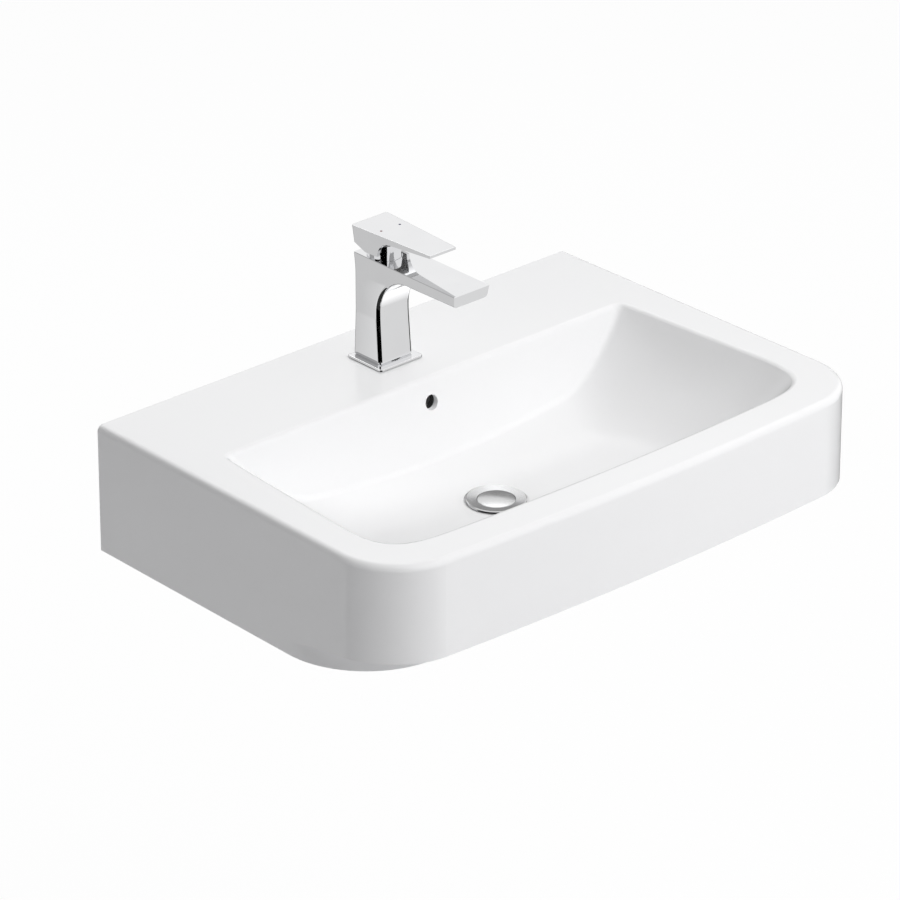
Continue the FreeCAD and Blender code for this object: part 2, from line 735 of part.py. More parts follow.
def cartridge_housing():
    lip_r = CARRIER_NECK_R + RUN_FIT
    lip_z = CARTRIDGE_TOP - CARTRIDGE_LIP
    outline = [
        (CARTRIDGE_BORE_R, FIXED_DISC_Z),
        (CARTRIDGE_R, FIXED_DISC_Z),
        (CARTRIDGE_R, CARTRIDGE_SHOULDER),
        (CARTRIDGE_NECK_R, CARTRIDGE_SHOULDER),
        (CARTRIDGE_NECK_R, CARTRIDGE_TOP),
        (lip_r, CARTRIDGE_TOP),
        (lip_r, lip_z),
        (CARTRIDGE_BORE_R, lip_z),
    ]
    return revolved(outline, TAP_Y)


def moving_disc():
    """The upper ceramic disc, with the mixing hollow in its underside."""
    place = V(0, DISC_Y, MOVING_DISC_Z)
    disc = cylinder(MOVING_DISC_R, MOVING_DISC, place)
    return disc.cut(cylinder(MIXING_R, MOVING_DISC / 2, place))


def disc_slider():
    """The driver on the upper disc, with a pocket for the ball of the stem."""
    bottom = MOVING_DISC_Z + MOVING_DISC
    block = cylinder(MOVING_DISC_R, SLIDER_HEIGHT, V(0, DISC_Y, bottom))
    half = STEM_BALL_R + RUN_FIT
    top = bottom + SLIDER_HEIGHT
    ball_low = LIFT_AXIS - STEM_BALL_DROP - half
    return block.cut(box(2 * half, (TAP_Y - half, ball_low), (TAP_Y + half, top)))


def cartridge_carrier():
    """The turning guide that holds the stem's pin and leaves the stem room to tilt."""
    bottom = SLIDER_TOP + RUN_FIT
    shoulder = CARTRIDGE_TOP - CARTRIDGE_LIP - RUN_FIT
    main_r = CARTRIDGE_BORE_R - RUN_FIT
    guide = cylinder(main_r, shoulder - bottom, V(0, TAP_Y, bottom))
    guide = guide.fuse(cylinder(CARRIER_NECK_R, CARRIER_TOP - bottom, V(0, TAP_Y, bottom)))
    tilt = math.tan(math.radians(LIFT_ANGLE))
    half = STEM_SIZE / 2 + STEM_SIDE_FIT
    ahead = half + (LIFT_AXIS - bottom) * tilt + RUN_FIT
    behind = half + (CARRIER_TOP - LIFT_AXIS) * tilt + RUN_FIT
    slot = box(2 * half, (TAP_Y - ahead, bottom), (TAP_Y + behind, CARRIER_TOP))
    return one(guide.cut(slot).cut(stem_axle(STEM_PIN_R)))


def stem_axle(radius):
    start = V(-STEM_PIN_LENGTH / 2, TAP_Y, LIFT_AXIS)
    return cylinder(radius, STEM_PIN_LENGTH, start, V(1, 0, 0))


def cartridge_stem():
    half = STEM_SIZE / 2
    shank_top = LIFT_AXIS - half
    ball = V(0, TAP_Y, LIFT_AXIS - STEM_BALL_DROP)
    bar = box(STEM_SIZE, (TAP_Y - half, shank_top), (TAP_Y + half, STEM_TOP))
    shank = cylinder(STEM_SHANK_R, shank_top - ball.z, ball)
    stem = bar.fuse(shank).fuse(Part.makeSphere(STEM_BALL_R, ball))
    return one(stem.cut(stem_axle(STEM_PIN_R + PIN_FIT)))


def lock_nut():
    """The threaded ring that holds the cartridge down, with a hexagon above the body."""
    height = LOCK_NUT_TOP - CARTRIDGE_SHOULDER
    base = V(0, TAP_Y, CARTRIDGE_SHOULDER)
    ring = cylinder(LOCK_NUT_R, height, base)
    above = cylinder(LOCK_NUT_R, height, V(0, TAP_Y, TAP_TOP))
    flats = above.cut(hexagon(2 * LOCK_NUT_R - LOCK_NUT_FLAT, height, V(0, TAP_Y, TAP_TOP)))
    bore = cylinder(CARTRIDGE_NECK_R + CARTRIDGE_FIT, height, base)
    return one(ring.cut(flats).cut(bore))


def neck_cover():
    """The round sleeve between the body and the handle, with a lip round the lock nut."""
    inner = NECK_R - NECK_WALL
    lip = LOCK_NUT_R + CARTRIDGE_FIT
    foot = NECK_R - NECK_FOOT_INSET
    outline = [
        (lip, TAP_TOP),
        (foot, TAP_TOP),
        (foot, TAP_TOP + NECK_FOOT_HEIGHT),
        (NECK_R, TAP_TOP + NECK_FOOT_HEIGHT),
        (NECK_R, NECK_TOP - NECK_ROUND),
        (NECK_R - NECK_ROUND, NECK_TOP),
        (inner, NECK_TOP),
        (inner, TAP_TOP + NECK_WALL),
        (lip, TAP_TOP + NECK_WALL),
    ]
    return revolved(outline, TAP_Y)


# Tap: handle
def handle_side_outline():
    """The hood over the neck and the thin blade, seen from the side."""
    back = TAP_Y + HANDLE_BACK
    tip = back - HANDLE_LENGTH
    hood_z = TAP_TOP + HOOD_GAP
    blade_z = HANDLE_TOP - BLADE_ROOT_THICK
    notch_r = blade_z - hood_z
    centre = V(0, TAP_Y + NOTCH_Y, hood_z)
    diagonal = V(0, math.sqrt(0.5), math.sqrt(0.5)) * notch_r
    blade_root = V(0, centre.y, blade_z)
    hood_front = V(0, centre.y + notch_r, hood_z)
    notch = Part.Arc(blade_root, centre + diagonal, hood_front).toShape()
    tip_top = V(0, tip, HANDLE_TOP)
    tip_low = V(0, tip, HANDLE_TOP - HANDLE_TIP_THICK)
    heel = V(0, TAP_Y + HOOD_HEEL, hood_z)
    back_low = V(0, back - HOOD_BACK_LEAN, HANDLE_TOP - HOOD_BACK_HEIGHT)
    back_top = V(0, back, HANDLE_TOP)
    path = [line(back_top, tip_top), line(tip_top, tip_low), line(tip_low, blade_root), notch]
    return closed(path, [heel, back_low])


def handle_shell():
    """The outside of the handle, which narrows towards its tip."""
    back = TAP_Y + HANDLE_BACK
    ends = [back + CUT_MARGIN, back - HANDLE_LENGTH - CUT_MARGIN]
    taper = (HANDLE_BACK_HALF - HANDLE_TIP_HALF) / HANDLE_LENGTH
    halves = [HANDLE_BACK_HALF + taper * (y - back) for y in ends]
    plan = [
        V(-halves[0], ends[0], TAP_TOP),
        V(-halves[1], ends[1], TAP_TOP),
        V(halves[1], ends[1], TAP_TOP),
        V(halves[0], ends[0], TAP_TOP),
    ]
    wedge = prism(polygon(plan), V(0, 0, HANDLE_TOP))
    shell = one(side_prism(handle_side_outline(), PLATE_WIDTH).common(wedge))
    shell = shell.makeFillet(HANDLE_CORNER_R, edges_where(shell, on_handle_back))
    return shell.makeFillet(HANDLE_EDGE_R, edges_where(shell, on_handle_top))


def on_handle_back(edge):
    """The two upright corners at the rear of the hood."""
    points = edge.discretize(3)
    behind = all(p.y > TAP_Y + HANDLE_BACK - HOOD_BACK_LEAN - TOUCH for p in points)
    return runs_along(edge) and behind


def handle():
    lever = handle_shell()
    inner = NECK_R + HOOD_CLEAR
    height = HOOD_CEILING - TAP_TOP
    ahead = TAP_Y - HOOD_ROOM
    lever = lever.cut(cylinder(inner, height, V(0, TAP_Y, TAP_TOP)))
    lever = lever.cut(cylinder(inner, height, V(0, ahead, TAP_TOP)))
    lever = lever.cut(box(2 * inner, (ahead, TAP_TOP), (TAP_Y, HOOD_CEILING)))
    half = STEM_SIZE / 2
    wall = half + SOCKET_WALL
    over = (HOOD_CEILING + HANDLE_TOP) / 2
    lever = lever.fuse(box(2 * wall, (TAP_Y - wall, SOCKET_BOTTOM), (TAP_Y + wall, over)))
    lever = lever.cut(box(STEM_SIZE, (TAP_Y - half, SOCKET_BOTTOM), (TAP_Y + half, STEM_TOP)))
    lever = lever.cut(cylinder(SCREW_R, SOCKET_WALL + half, V(0, TAP_Y, SCREW_Z), V(0, 1, 0)))
    access = V(0, TAP_Y + inner - SCREW_ACCESS_R, SCREW_Z)
    lever = lever.cut(cylinder(SCREW_ACCESS_R, HANDLE_BACK, access, V(0, 1, 0)))
    for side in (-1, 1):
        lever = lever.cut(colour_mark(side))
    return one(lever)


def on_handle_top(edge):
    return all(abs(p.z - HANDLE_TOP) < TOUCH for p in edge.discretize(3))


def handle_screw():
    start = V(0, TAP_Y + STEM_SIZE / 2, SCREW_Z)
    return cylinder(SCREW_R, SCREW_LENGTH, start, V(0, 1, 0))


def colour_mark(side):
    """A small enamel dot let into the top of the handle."""
    return cylinder(DOT_R, DOT_DEEP, V(side * DOT_X, TAP_Y + DOT_Y, HANDLE_TOP - DOT_DEEP))


# Waste
def waste_body():
    """The flange and threaded tube, with overflow windows and a spider for the click post."""
    recess_r = PLUG_R + PLUG_FIT
    recess_z = FLANGE_TOP - PLUG_RECESS
    tail = FLANGE_TOP - TUBE_LENGTH
    flange_low = FLANGE_TOP - FLANGE_THICK
    outline = [
        (recess_r, FLANGE_TOP - FLANGE_DISH),
        (FLANGE_R - FLANGE_ROUND, FLANGE_TOP),
        (FLANGE_R, FLANGE_TOP - FLANGE_ROUND),
        (FLANGE_R, flange_low),
        (TUBE_R, flange_low),
        (TUBE_R, tail + TAIL_LENGTH),
        (TAIL_R, tail + TAIL_LENGTH),
        (TAIL_R, tail),
        (TUBE_BORE_R, tail),
        (TUBE_BORE_R, recess_z - SEAT_DROP),
        (recess_r, recess_z),
    ]
    body = revolved(outline, WASTE_Y)
    window_z = flange_low - WINDOW_DROP - WINDOW_HEIGHT
    for i in range(WINDOW_COUNT):
        corner = V(0, WASTE_Y - WINDOW_WIDTH / 2, window_z)
        window = Part.makeBox(FLANGE_R, WINDOW_WIDTH, WINDOW_HEIGHT, corner)
        window.rotate(V(0, WASTE_Y, 0), V(0, 0, 1), 90 + 360 / WINDOW_COUNT * i)
        body = body.cut(window)
    hub_base = V(0, WASTE_Y, HUB_TOP - HUB_HEIGHT)
    body = body.fuse(cylinder(HUB_R, HUB_HEIGHT, hub_base))
    reach = (TUBE_BORE_R + TUBE_R) / 2
    for i in range(ARM_COUNT):
        arm = Part.makeBox(reach, ARM_WIDTH, HUB_HEIGHT, hub_base - V(0, ARM_WIDTH / 2, 0))
        arm.rotate(hub_base, V(0, 0, 1), 90 + 360 / ARM_COUNT * i)
        body = body.fuse(arm)
    return one(body.cut(cylinder(POST_SCREW_R, HUB_HEIGHT, hub_base)))


def click_post():
    """The fixed post of the click mechanism, screwed into the spider."""
    spigot = cylinder(POST_SCREW_R, HUB_HEIGHT, V(0, WASTE_Y, HUB_TOP - HUB_HEIGHT))
    return one(spigot.fuse(cylinder(POST_R, POST_HEIGHT, V(0, WASTE_Y, HUB_TOP))))


def plug_cap():
    """The domed push plug, with a skirt that carries the sealing ring."""
    edge_z = FLANGE_TOP - PLUG_SINK
    crown_r = PLUG_R - PLUG_ROUND
    sphere_r = (crown_r ** 2 + PLUG_DOME ** 2) / (2 * PLUG_DOME)
    half_turn = math.asin(crown_r / sphere_r) / 2
    crown_z = edge_z + PLUG_DOME
    bend = V(sphere_r * math.sin(half_turn), WASTE_Y, crown_z - sphere_r * (1 - math.cos(half_turn)))
    rim = V(crown_r, WASTE_Y, edge_z)
    dome = Part.Arc(V(0, WASTE_Y, crown_z), bend, rim).toShape()
    inner = SKIRT_R - SKIRT_WALL
    groove = SKIRT_R - RING_DEEP
    outline = [
        (PLUG_R, edge_z - PLUG_ROUND),
        (PLUG_R, PLUG_UNDER),
        (SKIRT_R, PLUG_UNDER),
        (SKIRT_R, RING_Z + RING_HEIGHT),
        (groove, RING_Z + RING_HEIGHT),
        (groove, RING_Z),
        (SKIRT_R, RING_Z),
        (SKIRT_R, PLUG_UNDER - SKIRT_HEIGHT),
        (inner, PLUG_UNDER - SKIRT_HEIGHT),
        (inner, PLUG_UNDER),
        (0, PLUG_UNDER),
    ]
    edges = closed([dome], [V(r, WASTE_Y, z) for r, z in outline])
    return Part.Face(Part.Wire(edges)).revolve(V(0, WASTE_Y, 0), V(0, 0, 1), 360)


def lower_seal():
    """The rubber ring below the boss, with a lip that centres the tube in the hole."""
    lip_r = WASTE_HOLE_R - LOWER_SEAL_FIT
    outline = [
        (TUBE_R, BOSS_BOTTOM - LOWER_SEAL),
        (LOWER_SEAL_R, BOSS_BOTTOM - LOWER_SEAL),
        (LOWER_SEAL_R, BOSS_BOTTOM),
        (lip_r, BOSS_BOTTOM),
        (TUBE_R, BOSS_BOTTOM + LOWER_SEAL_LIP),
    ]
    return revolved(outline, WASTE_Y)


def back_nut():
    top = BOSS_BOTTOM - LOWER_SEAL - SLIP_WASHER
    base = V(0, WASTE_Y, top - BACK_NUT_HEIGHT)
    return hexagon(BACK_NUT_FLATS, BACK_NUT_HEIGHT, base).cut(cylinder(TUBE_R, BACK_NUT_HEIGHT, base))


def pieces():
    clamp_top = -DECK_SKIN - CLAMP_RUBBER
    washer_top = BOSS_BOTTOM - LOWER_SEAL
    seal_z = FLANGE_TOP - FLANGE_THICK - FLANGE_SEAL
    sleeve_r = POST_R + SLEEVE_FIT
    spring_r = sleeve_r - SPRING_FIT
    aerator_top = AERATOR_BOTTOM + AERATOR_HEIGHT
    inner_aerator = AERATOR_R - AERATOR_RING
    ring_r = TUBE_BORE_R - RING_FIT
    post_top = HUB_TOP + POST_HEIGHT
    return {
        "basin": basin(),
        "base_gasket": plate_block(GASKET_INSET, 0, GASKET_THICK),
        "base_plate": base_plate(),
        "tap_body": tap_body(),
        "aerator_ring": tube(AERATOR_R, inner_aerator, AERATOR_BOTTOM, aerator_top, AERATOR_Y),
        "aerator_insert": aerator_insert(),
        "aerator_seal": tube(AERATOR_R, AERATOR_R / 2, aerator_top, aerator_top + AERATOR_SEAL, AERATOR_Y),
        "fixing_stud": fixing_stud(),
        "clamp_rubber": clamp(CLAMP_RUBBER, -DECK_SKIN),
        "clamp_plate": clamp(CLAMP_PLATE, clamp_top),
        "fixing_nut": fixing_nut(),
        "cartridge_seal": ported_disc(CARTRIDGE_BORE_R, CHAMBER_FLOOR, SEAL_THICK),
        "cartridge_housing": cartridge_housing(),
        "fixed_disc": ported_disc(CARTRIDGE_BORE_R, FIXED_DISC_Z, FIXED_DISC),
        "moving_disc": moving_disc(),
        "disc_slider": disc_slider(),
        "cartridge_carrier": cartridge_carrier(),
        "stem_pin": stem_axle(STEM_PIN_R),
        "cartridge_stem": cartridge_stem(),
        "lock_nut": lock_nut(),
        "neck_cover": neck_cover(),
        "handle": handle(),
        "handle_screw": handle_screw(),
        "hot_mark": colour_mark(-1),
        "cold_mark": colour_mark(1),
        "waste_body": waste_body(),
        "flange_seal": tube(FLANGE_SEAL_R, TUBE_R, seal_z, seal_z + FLANGE_SEAL, WASTE_Y),
        "lower_seal": lower_seal(),
        "slip_washer": tube(LOWER_SEAL_R, TUBE_R, washer_top - SLIP_WASHER, washer_top, WASTE_Y),
        "back_nut": back_nut(),
        "click_post": click_post(),
        "click_spring": tube(spring_r, spring_r - SPRING_WALL, post_top, PLUG_UNDER, WASTE_Y),
        "plug_sleeve": tube(sleeve_r + SLEEVE_WALL, sleeve_r, HUB_TOP + SLEEVE_GAP, PLUG_UNDER, WASTE_Y),
        "plug_seal": tube(ring_r, SKIRT_R - RING_DEEP, RING_Z, RING_Z + RING_HEIGHT, WASTE_Y),
        "plug_cap": plug_cap(),
    }


def save(name, shape):
    placed = shape.copy()
    placed.translate(V(0, 0, BOLT_DROP))
    placed.exportStep("parts/" + name + ".step")


os.makedirs("parts", exist_ok=True)
for node, solid in pieces().items():
    save(node, solid)
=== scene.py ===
import json
import math

import bpy
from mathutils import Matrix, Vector


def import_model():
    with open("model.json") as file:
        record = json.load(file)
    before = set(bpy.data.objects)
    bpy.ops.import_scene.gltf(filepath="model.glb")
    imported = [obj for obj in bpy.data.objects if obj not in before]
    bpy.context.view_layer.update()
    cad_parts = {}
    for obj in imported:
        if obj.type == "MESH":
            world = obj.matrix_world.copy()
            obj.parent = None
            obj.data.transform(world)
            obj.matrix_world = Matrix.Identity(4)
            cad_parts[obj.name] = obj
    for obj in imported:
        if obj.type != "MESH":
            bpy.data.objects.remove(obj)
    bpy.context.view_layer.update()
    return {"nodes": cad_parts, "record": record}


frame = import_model()
nodes = frame["nodes"]
scene = bpy.context.scene
scene.view_settings.view_transform = "Standard"


# Materials
COMMON_IOR = 1.5
DRIFT_DETAIL, RELIEF_DETAIL = 3.0, 2.0
# The part of a factor's 0 to 1 over which a colour or a number changes
RAMP_START, RAMP_END = 0.2, 0.8


def new_material(name, metallic, ior):
    """A material with a Principled shader, and its node tree."""
    material = bpy.data.materials.new(name)
    material.use_nodes = True
    tree = material.node_tree
    shader = tree.nodes["Principled BSDF"]
    shader.inputs["Metallic"].default_value = metallic
    shader.inputs["IOR"].default_value = ior
    return material, tree, shader


def noise(tree, scale, detail):
    """A noise texture in the object's own coordinates."""
    coords = tree.nodes.new("ShaderNodeTexCoord")
    texture = tree.nodes.new("ShaderNodeTexNoise")
    texture.inputs["Scale"].default_value = scale
    texture.inputs["Detail"].default_value = detail
    tree.links.new(coords.outputs["Object"], texture.inputs["Vector"])
    return texture.outputs["Fac"]


def blend_colours(tree, factor, first, last):
    """A colour that goes from first to last with a factor."""
    ramp = tree.nodes.new("ShaderNodeValToRGB")
    ramp.color_ramp.interpolation = "EASE"
    ramp.color_ramp.elements[0].position = RAMP_START
    ramp.color_ramp.elements[0].color = (*first, 1.0)
    ramp.color_ramp.elements[1].position = RAMP_END
    ramp.color_ramp.elements[1].color = (*last, 1.0)
    tree.links.new(factor, ramp.inputs["Fac"])
    return ramp.outputs["Color"]


def spread(tree, factor, low, high):
    """A number that goes from low to high with a factor."""
    span = tree.nodes.new("ShaderNodeMapRange")
    span.interpolation_type = "SMOOTHSTEP"
    span.inputs["From Min"].default_value = RAMP_START
    span.inputs["From Max"].default_value = RAMP_END
    span.inputs["To Min"].default_value = low
    span.inputs["To Max"].default_value = high
    tree.links.new(factor, span.inputs["Value"])
    return span.outputs["Result"]


def bump(tree, shader, factor, strength, distance):
    """A relief on the shader's surface, as high as a factor."""
    node = tree.nodes.new("ShaderNodeBump")
    node.inputs["Strength"].default_value = strength
    node.inputs["Distance"].default_value = distance
    tree.links.new(factor, node.inputs["Height"])
    tree.links.new(node.outputs["Normal"], shader.inputs["Normal"])


def finish_material(name, colours, roughness, scale, metallic=0.0, ior=COMMON_IOR,
                    relief=None, detail=DRIFT_DETAIL):
    """A surface whose colour and roughness drift slightly. A relief, where wanted, is given by its
    noise's scale, its strength and its height."""
    material, tree, shader = new_material(name, metallic, ior)
    drift = noise(tree, scale, detail)
    tree.links.new(blend_colours(tree, drift, *colours), shader.inputs["Base Color"])
    tree.links.new(spread(tree, drift, *roughness), shader.inputs["Roughness"])
    if relief:
        fine, strength, distance = relief
        bump(tree, shader, noise(tree, fine, RELIEF_DETAIL), strength, distance)
    return material


GLAZE = finish_material("glaze", [(0.872, 0.873, 0.881), (0.892, 0.892, 0.897)], (0.17, 0.21), 2.2,
                        relief=(14.0, 0.02, 0.0006), detail=0.0)
# Painted shade: the hidden overflow channel is coloured nearly black so the inside of the overflow
# looks dark
CHANNEL_PAINTED_SHADE = finish_material("channel_painted_shade", [(0.005, 0.005, 0.0045), (0.009, 0.009, 0.008)], (0.75, 0.9),
                          120.0, ior=1.15, relief=(1200.0, 0.2, 0.0004))
CHROME = finish_material("chrome", [(0.81, 0.812, 0.822), (0.83, 0.832, 0.84)], (0.03, 0.05), 40.0,
                         metallic=1.0)
# A rougher chrome whose colour is also darkened as painted shade, for the dim reflection the waste
# catches in the bowl
SATIN_CHROME_PAINTED_SHADE = finish_material("satin_chrome_painted_shade", [(0.66, 0.662, 0.668), (0.70, 0.702, 0.708)],
                               (0.18, 0.24), 60.0, metallic=1.0)
CASTING = finish_material("casting", [(0.46, 0.46, 0.465), (0.54, 0.54, 0.545)], (0.45, 0.6), 150.0,
                          relief=(900.0, 0.1, 0.0003))
BRASS = finish_material("brass", [(0.62, 0.46, 0.20), (0.70, 0.54, 0.27)], (0.28, 0.38), 60.0,
                        metallic=1.0, relief=(900.0, 0.05, 0.0002))
STEEL = finish_material("steel", [(0.50, 0.51, 0.52), (0.58, 0.59, 0.60)], (0.28, 0.40), 70.0,
                        metallic=1.0, relief=(1200.0, 0.05, 0.0002))
RUBBER = finish_material("rubber", [(0.018, 0.018, 0.018), (0.035, 0.035, 0.035)], (0.6, 0.75), 90.0,
                         relief=(1500.0, 0.15, 0.0003))
WHITE_PLASTIC = finish_material("white_plastic", [(0.76, 0.76, 0.74), (0.82, 0.82, 0.80)],
                                (0.35, 0.45), 80.0, relief=(1500.0, 0.05, 0.0002))
GREY_PLASTIC = finish_material("grey_plastic", [(0.10, 0.105, 0.11), (0.14, 0.145, 0.15)],
                               (0.4, 0.5), 80.0, relief=(1500.0, 0.08, 0.0002))
DISC_CERAMIC = finish_material("disc_ceramic", [(0.72, 0.70, 0.64), (0.78, 0.76, 0.70)],
                               (0.12, 0.2), 120.0)
RED_ENAMEL = finish_material("red_enamel", [(0.10, 0.008, 0.012), (0.13, 0.012, 0.016)],
                             (0.5, 0.6), 600.0)
BLUE_ENAMEL = finish_material("blue_enamel", [(0.008, 0.01, 0.05), (0.012, 0.014, 0.07)],
                              (0.5, 0.6), 600.0)

SLOT_MATERIALS = {
    "glaze": GLAZE,
    "chrome": CHROME,
    "brass": BRASS,
    "steel": STEEL,
    "rubber": RUBBER,
    "white_plastic": WHITE_PLASTIC,
    "grey_plastic": GREY_PLASTIC,
    "disc_ceramic": DISC_CERAMIC,
    "red_enamel": RED_ENAMEL,
    "blue_enamel": BLUE_ENAMEL,
}
for part in frame["record"]["subparts"]:
    mesh = nodes[part["node"]].data
    mesh.materials.clear()
    mesh.materials.append(SLOT_MATERIALS[part["material_slot"]])


# Finishes of single faces. Lengths are in metres
DECK = 0.085
# The bowl's rear wall: its y at the deck's height, and its slope
WALL_TOP, WALL_TILT = -0.137, math.tan(math.radians(12.5))
# The overflow hole: depth of its centre below the deck, radius, length and length that is glazed
HOLE_DROP, HOLE_R, HOLE_LENGTH, GLAZED = 0.026, 0.0082, 0.0125, 0.006
# Half the length over which the glaze gives way to the painted shade deeper in the hole
GLAZE_EDGE = 0.0005
# The glaze's colour, then the nearly black painted shade that darkens the hole's depth
HOLE_GLAZE_AND_SHADE_COLOURS = (0.86, 0.86, 0.87), (0.003, 0.003, 0.003)
HOLE_ROUGHNESS = 0.3, 0.85
# The overflow channel: half its width, its upright run behind the wall and its level run below
CHANNEL_HALF = 0.0202
UPRIGHT_DEPTHS, UPRIGHT_HEIGHTS = (0.0112, 0.0275), (-0.03, 0.07)
LEVEL_HEIGHTS, LEVEL_YS = (-0.041, -0.025), (-0.216, -0.1)
# The handle's pocket round the neck: the neck's axis, and the pocket's radius, reach and top
NECK_Y = -0.072
POCKET_R, POCKET_REACH, POCKET_TOP = 0.0191, 0.008, 0.2232


def between(value, limits):
    """Whether a value lies between two limits."""
    return limits[0] < value < limits[1]


def behind_wall(point):
    """How far a point lies behind the bowl's slanted rear wall."""
    return point.y - (WALL_TOP + (point.z - DECK) * WALL_TILT)


def in_channel(point):
    """Whether a point lies on the unglazed overflow channel behind and below the bowl, which gets
    painted shade, nearly black.
    """
    upright = between(behind_wall(point), UPRIGHT_DEPTHS) and between(point.z, UPRIGHT_HEIGHTS)
    level = between(point.z, LEVEL_HEIGHTS) and between(point.y, LEVEL_YS)
    return abs(point.x) < CHANNEL_HALF and (upright or level)


def in_hole(point):
    """Whether a point lies on the side of the overflow hole."""
    near = math.hypot(point.x, point.z - DECK + HOLE_DROP) < HOLE_R
    return near and between(behind_wall(point), (0.0, HOLE_LENGTH))


def hole_glaze_and_shade_material():
    """Glaze that ends a little way into the overflow hole, with painted shade, nearly black, deeper
    in.
    """
    material, tree, shader = new_material("hole", 0.0, COMMON_IOR)
    coords = tree.nodes.new("ShaderNodeTexCoord")
    depth = tree.nodes.new("ShaderNodeVectorMath")
    depth.operation = "DOT_PRODUCT"
    depth.inputs[1].default_value = (0, 1, -WALL_TILT)
    tree.links.new(coords.outputs["Object"], depth.inputs[0])
    edge = tree.nodes.new("ShaderNodeMapRange")
    wall = WALL_TOP - DECK * WALL_TILT
    edge.inputs["From Min"].default_value = wall + GLAZED - GLAZE_EDGE
    edge.inputs["From Max"].default_value = wall + GLAZED + GLAZE_EDGE
    tree.links.new(depth.outputs["Value"], edge.inputs["Value"])
    inside = edge.outputs["Result"]
    tree.links.new(blend_colours(tree, inside, *HOLE_GLAZE_AND_SHADE_COLOURS), shader.inputs["Base Color"])
    tree.links.new(spread(tree, inside, *HOLE_ROUGHNESS), shader.inputs["Roughness"])
    return material


def in_pocket(point):
    """Whether a point lies inside the handle, on the as-cast pocket round the neck."""
    ahead = min(max(NECK_Y - point.y, 0.0), POCKET_REACH)
    radius = math.hypot(point.x, point.y - NECK_Y + ahead)
    return radius < POCKET_R and point.z < POCKET_TOP


def add_finish(node, material, test):
    """Give the faces of a node that pass a test a material of their own."""
    node.data.materials.append(material)
    index = len(node.data.materials) - 1
    for polygon in node.data.polygons:
        if test(node.matrix_world @ polygon.center):
            polygon.material_index = index


basin = nodes["basin"]
# The overflow channel and the depth of the overflow hole get painted shade, nearly black
add_finish(basin, CHANNEL_PAINTED_SHADE, in_channel)
add_finish(basin, hole_glaze_and_shade_material(), in_hole)
add_finish(nodes["handle"], CASTING, in_pocket)
# The waste's flange and plug get the rougher chrome with painted shade
for name in ("waste_body", "plug_cap"):
    nodes[name].data.materials[0] = SATIN_CHROME_PAINTED_SHADE


# Floor, light and camera
FLOOR_Z, FLOOR_SIZE = -0.77, 60.0
FLOOR_COLOUR, FLOOR_GLOW, FLOOR_SHARE = (0.82, 0.82, 0.83, 1), 1.0, 0.96
WORLD_FILL, WORLD_SEEN = 0.33, 1.0
LAMP_TARGET = (0, -0.2, 0.05)
# Name, place, size and watts
LAMPS = (
    ("key", (0.8, -2.7, 2.5), (3.6, 3.0), 100.0),
    ("right", (2.4, -1.6, 1.8), (3.4, 3.0), 8.0),
    ("rear", (1.2, 1.8, 1.6), (2.8, 2.0), 38.0),
)
# Heights of the level cards: two layers just above the floor, and one overhead
CARD_Z, UPPER_CARD_Z, STRIP_Z = -0.765, -0.76, 2.6
RING_STEPS = 24
# Radii at which the rings begin, change and end
HUB, LEFT_STEP, RIGHT_STEP, RING_EDGE, RING_END = 0.02, 1.55, 1.3, 3.1, 9.0
# Name, inner and outer radius, first and last azimuth, height and glow
RINGS = (
    ("dark_left", LEFT_STEP, RING_EDGE, 162, 284, CARD_Z, 0.0),
    ("dim_left", HUB, LEFT_STEP, 162, 284, CARD_Z, 0.03),
    ("pale_front", HUB, RING_EDGE, 284, 328, CARD_Z, 0.8),
    ("dark_right", RIGHT_STEP, RING_EDGE, 328, 460, CARD_Z, 0.0),
    ("dim_right", HUB, RIGHT_STEP, 328, 460, CARD_Z, 0.55),
    ("pale_left", HUB, RING_EDGE, 100, 162, CARD_Z, 0.65),
    ("grey_front", RING_EDGE, RING_END, 180, 360, CARD_Z, 0.5),
    ("grey_rear", RING_EDGE, RING_END, 0, 180, CARD_Z, 0.5),
    ("strip", 2.3, 2.9, -25, 125, STRIP_Z, 2.2),
)
SENSOR, LENS = 36.0, 235.89
AZIMUTH, ELEVATION, DISTANCE = math.radians(-42.08), math.radians(26.13), 5.8135
AIM = (-0.0952, -0.2758, 0.085)
# Pieces whose middle is higher than this stand on the tap's base plate
TAP_FOOT = DECK + 0.015


def seen_rays(tree):
    """1 for camera, glossy and transmission rays, and 0 for the rest."""
    path = tree.nodes.new("ShaderNodeLightPath")
    total = path.outputs["Is Camera Ray"]
    for kind in ("Is Glossy Ray", "Is Transmission Ray"):
        more = tree.nodes.new("ShaderNodeMath")
        more.operation = "MAXIMUM"
        tree.links.new(total, more.inputs[0])
        tree.links.new(path.outputs[kind], more.inputs[1])
        total = more.outputs[0]
    return total


def floor():
    """A pale floor that keeps a little of the shadow and is otherwise white where it is seen."""
    bpy.ops.mesh.primitive_plane_add(size=FLOOR_SIZE, location=(0, 0, FLOOR_Z))
    plane = bpy.context.object
    plane.name = "floor"
    material = bpy.data.materials.new("floor")
    material.use_nodes = True
    tree = material.node_tree
    tree.nodes.clear()
    output = tree.nodes.new("ShaderNodeOutputMaterial")
    mix = tree.nodes.new("ShaderNodeMixShader")
    diffuse = tree.nodes.new("ShaderNodeBsdfDiffuse")
    diffuse.inputs["Color"].default_value = FLOOR_COLOUR
    glow = tree.nodes.new("ShaderNodeEmission")
    glow.inputs["Strength"].default_value = FLOOR_GLOW
    share = tree.nodes.new("ShaderNodeMath")
    share.operation = "MULTIPLY"
    share.inputs[1].default_value = FLOOR_SHARE
    tree.links.new(seen_rays(tree), share.inputs[0])
    tree.links.new(share.outputs[0], mix.inputs["Fac"])
    tree.links.new(diffuse.outputs[0], mix.inputs[1])
    tree.links.new(glow.outputs[0], mix.inputs[2])
    tree.links.new(mix.outputs[0], output.inputs["Surface"])
    plane.data.materials.append(material)


